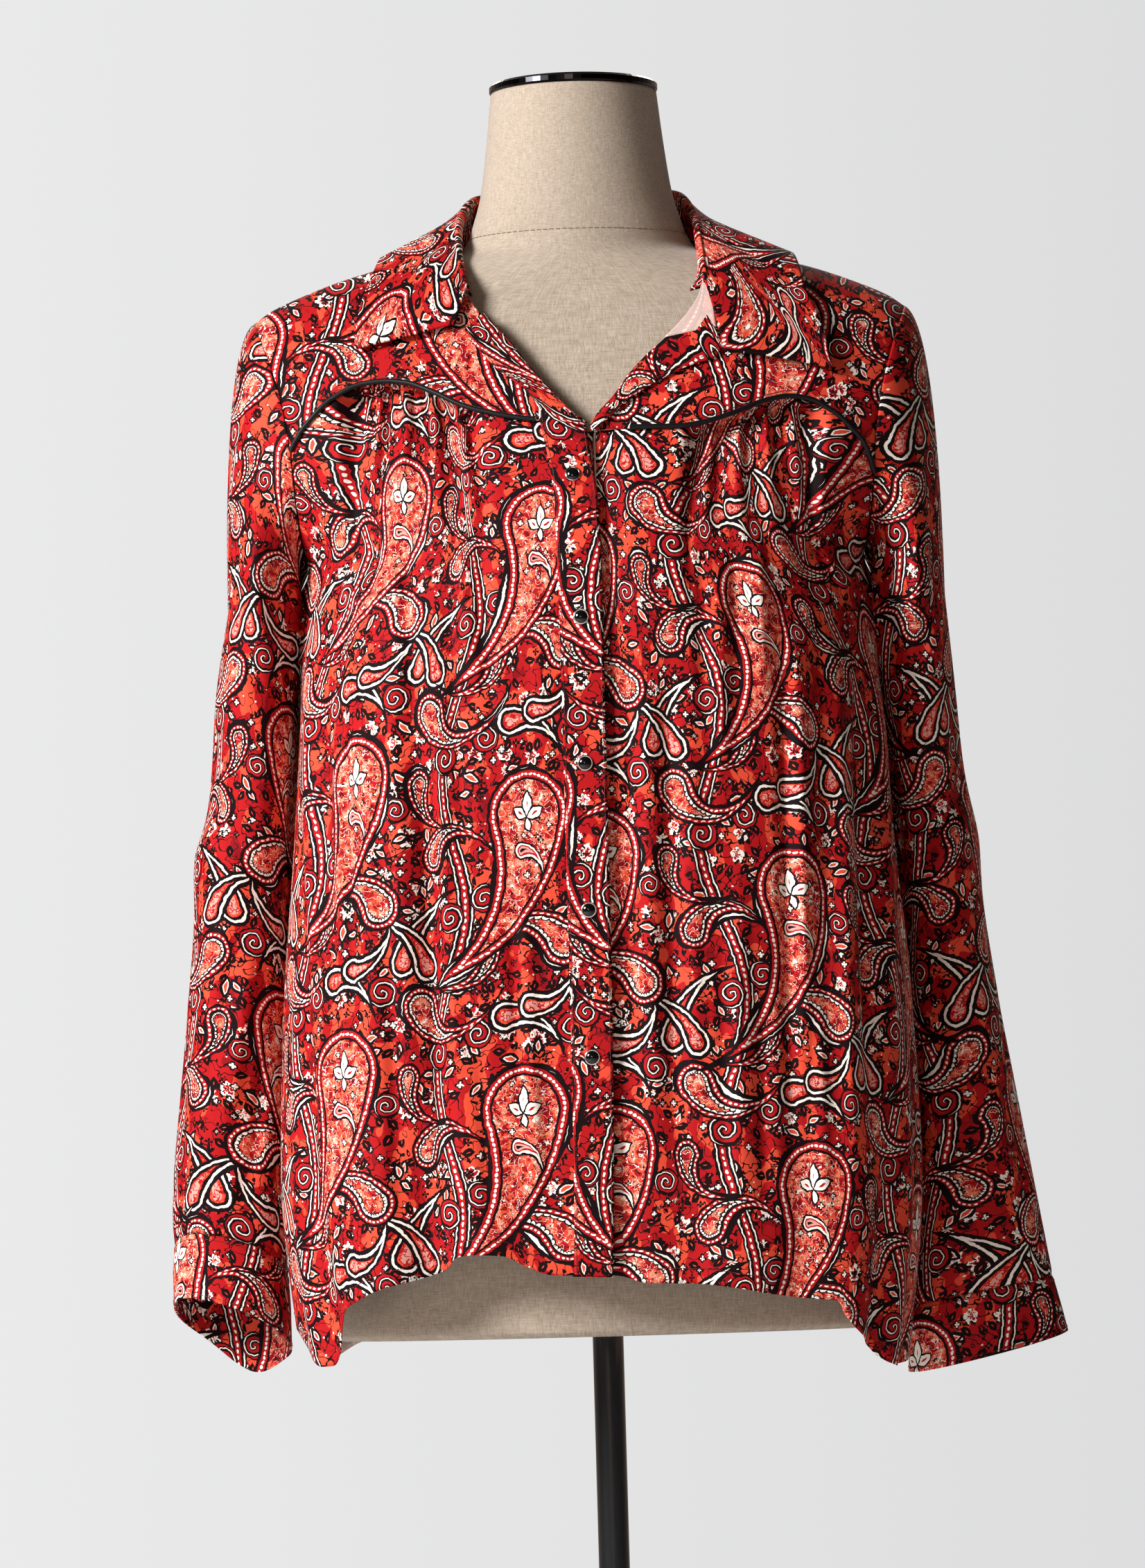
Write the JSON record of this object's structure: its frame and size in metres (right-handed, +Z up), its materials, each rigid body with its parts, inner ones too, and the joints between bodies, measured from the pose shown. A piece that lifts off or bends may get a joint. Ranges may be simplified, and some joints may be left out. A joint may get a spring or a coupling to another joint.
{
  "type": "long-sleeved snap-front blouse on a limbless dress form with stand",
  "caption": "Long-sleeved blouse with pointed collar, curved piped yokes, gathered fronts and a press-stud band, worn on a limbless dress form with pole and round base.",
  "frame": {"origin": "on the floor under the pole's axis, at the underside of the base plate", "axes": "+Z up along the pole, -Y the way the front faces, +X the wearer's left"},
  "size_m": [0.5545, 0.34, 1.578],
  "materials": {
    "printed_crepe": "printed viscose crepe, matte",
    "satin_piping": "black satin bias, slight sheen",
    "snap_enamel": "black enamel, glossy, thin bright rim",
    "linen_canvas": "natural linen canvas, plain weave",
    "dark_chrome": "polished dark chrome",
    "black_steel": "black gloss enamel"
  },
  "bodies": {
    "root": {"right_front": "printed_crepe", "left_front": "printed_crepe", "back": "printed_crepe", "right_yoke": "printed_crepe", "left_yoke": "printed_crepe", "right_sleeve": "printed_crepe", "left_sleeve": "printed_crepe", "right_cuff": "printed_crepe", "left_cuff": "printed_crepe", "collar": "printed_crepe", "left_lapel": "printed_crepe", "front_band": "printed_crepe", "under_band": "printed_crepe", "right_piping": "satin_piping", "left_piping": "satin_piping", "snap_1": "snap_enamel", "snap_2": "snap_enamel", "snap_3": "snap_enamel", "snap_4": "snap_enamel", "snap_5": "snap_enamel", "form_torso": "linen_canvas", "neck_cap": "dark_chrome", "pole": "black_steel", "base_plate": "black_steel"}
  },
  "joints": []
}
